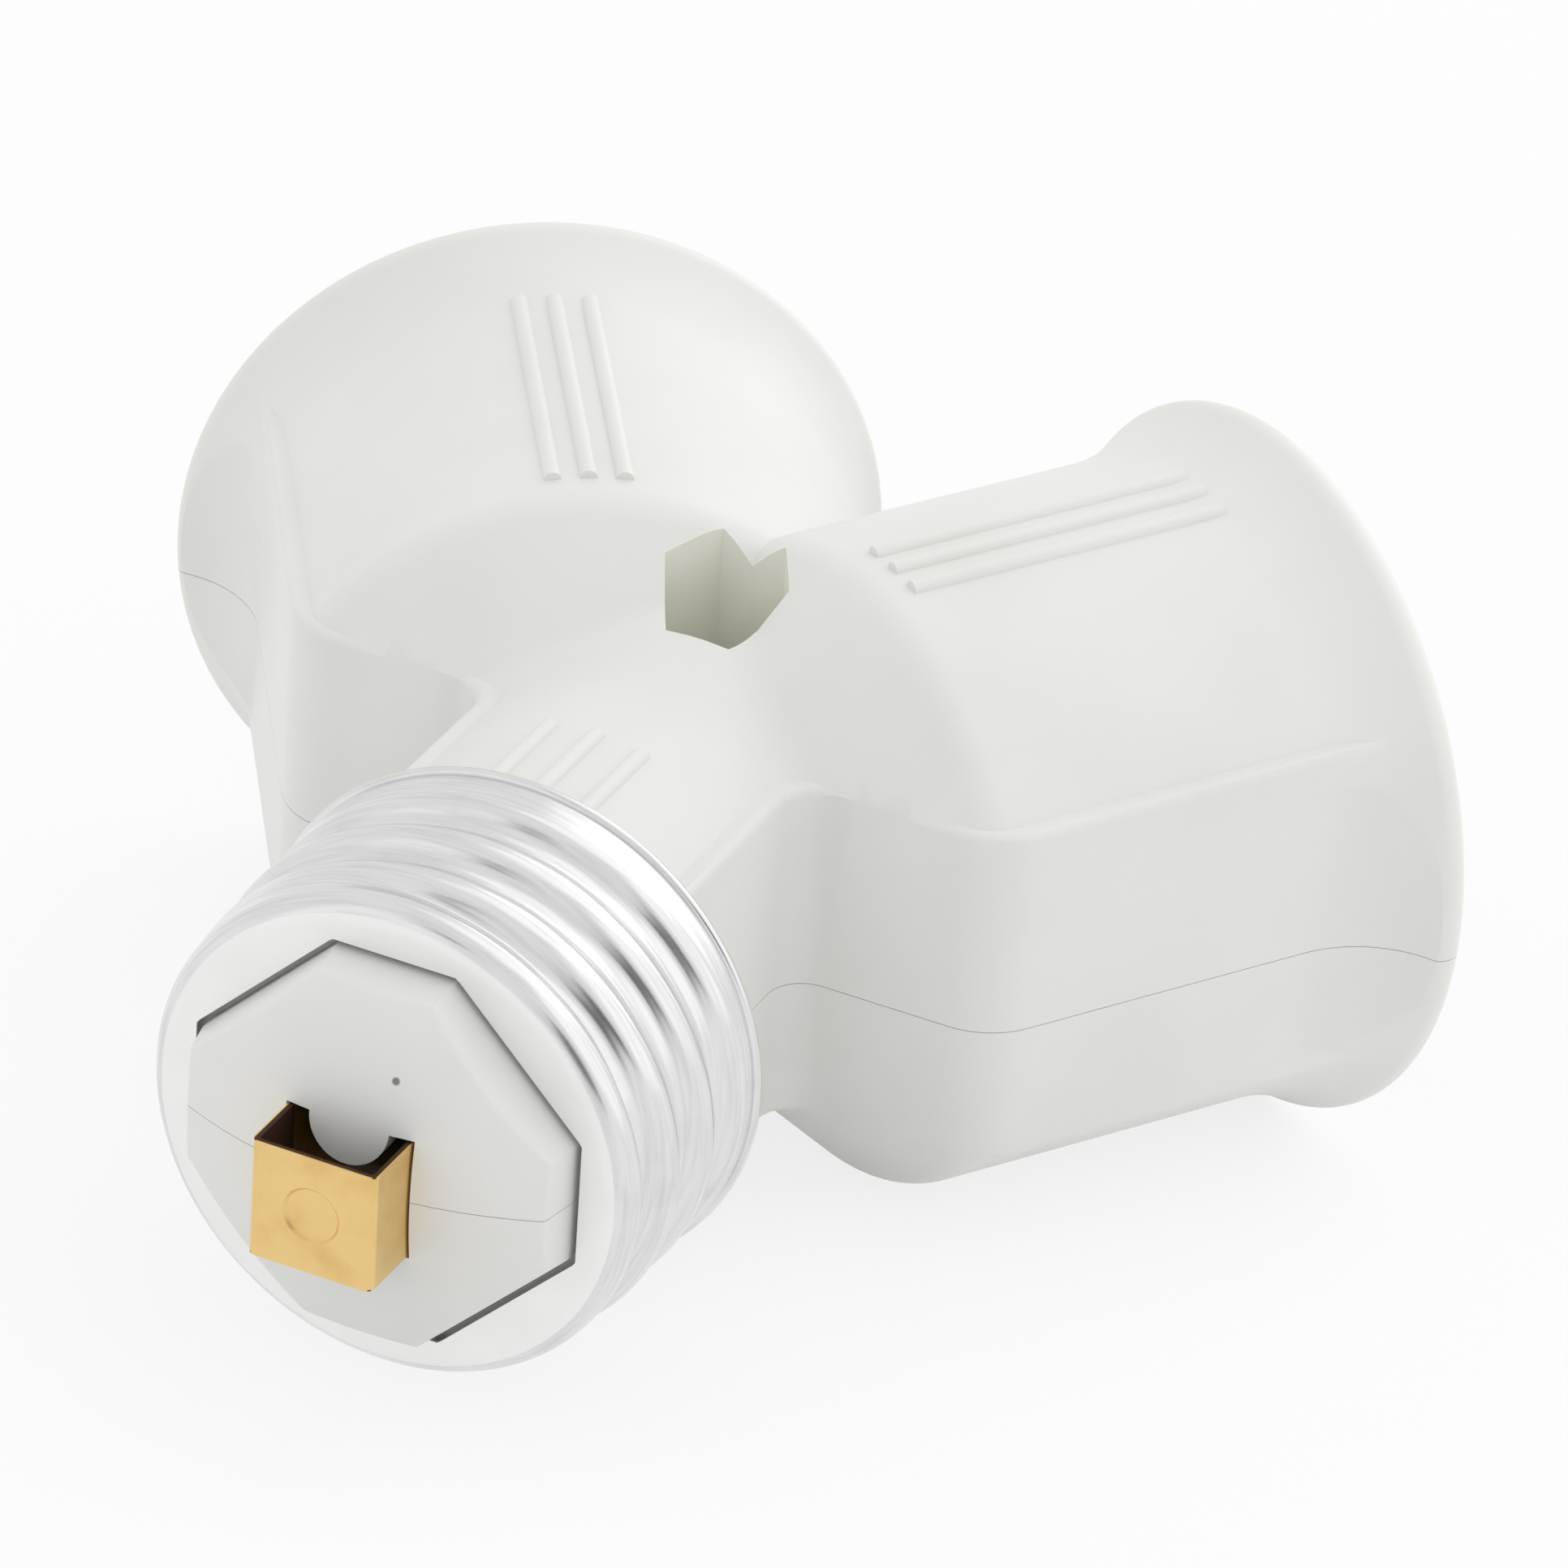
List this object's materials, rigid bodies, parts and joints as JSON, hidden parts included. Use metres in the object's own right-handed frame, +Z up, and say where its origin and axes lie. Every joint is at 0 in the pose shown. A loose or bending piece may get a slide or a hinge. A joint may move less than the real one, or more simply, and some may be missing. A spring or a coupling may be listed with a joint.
{
  "type": "lamp socket adapter",
  "caption": "Y-shaped lamp socket adapter: a screw cap at its foot feeds flared screw sockets on its arms, in a white moulded clamshell housing with a folded brass centre contact.",
  "frame": {"origin": "on the surface it lies on, under the middle of its outline", "axes": "+Z up, +X to the right with the cap towards the viewer, +Y from the cap towards the sockets; it lies on both socket rims and the front edge of the cap, so the plane of the Y leans up a few degrees towards the sockets"},
  "size_m": [0.0716, 0.0716, 0.0361],
  "materials": {
    "white_plastic": "satin moulded",
    "plated_sheet": "bright rolled sheet",
    "brass_strip": "bright stamped",
    "spring_brass": "bright stamped",
    "zinc_steel": "zinc plated"
  },
  "bodies": {
    "adapter": {"upper_housing": "white_plastic", "lower_housing": "white_plastic", "cap_screw_shell": "plated_sheet", "contact_strip": "brass_strip", "left_socket_shell": "plated_sheet", "right_socket_shell": "plated_sheet", "neutral_strip": "brass_strip", "housing_screw": "zinc_steel", "housing_nut": "zinc_steel"},
    "left_spring": {"left_contact_spring": "spring_brass"},
    "right_spring": {"right_contact_spring": "spring_brass"}
  },
  "joints": [
    {"name": "left_contact_press", "type": "hinge", "parent": "adapter", "child": "left_spring", "pos_m": [-0.01314, 0.00721, 0.01632], "axis": [0, 0.0944, -0.9955], "range_deg": [0, 8], "stiffness_Nm_per_rad": 0.05},
    {"name": "right_contact_press", "type": "hinge", "parent": "adapter", "child": "right_spring", "pos_m": [0.01314, 0.00721, 0.01632], "axis": [0, -0.0944, 0.9955], "range_deg": [0, 8], "stiffness_Nm_per_rad": 0.05}
  ]
}
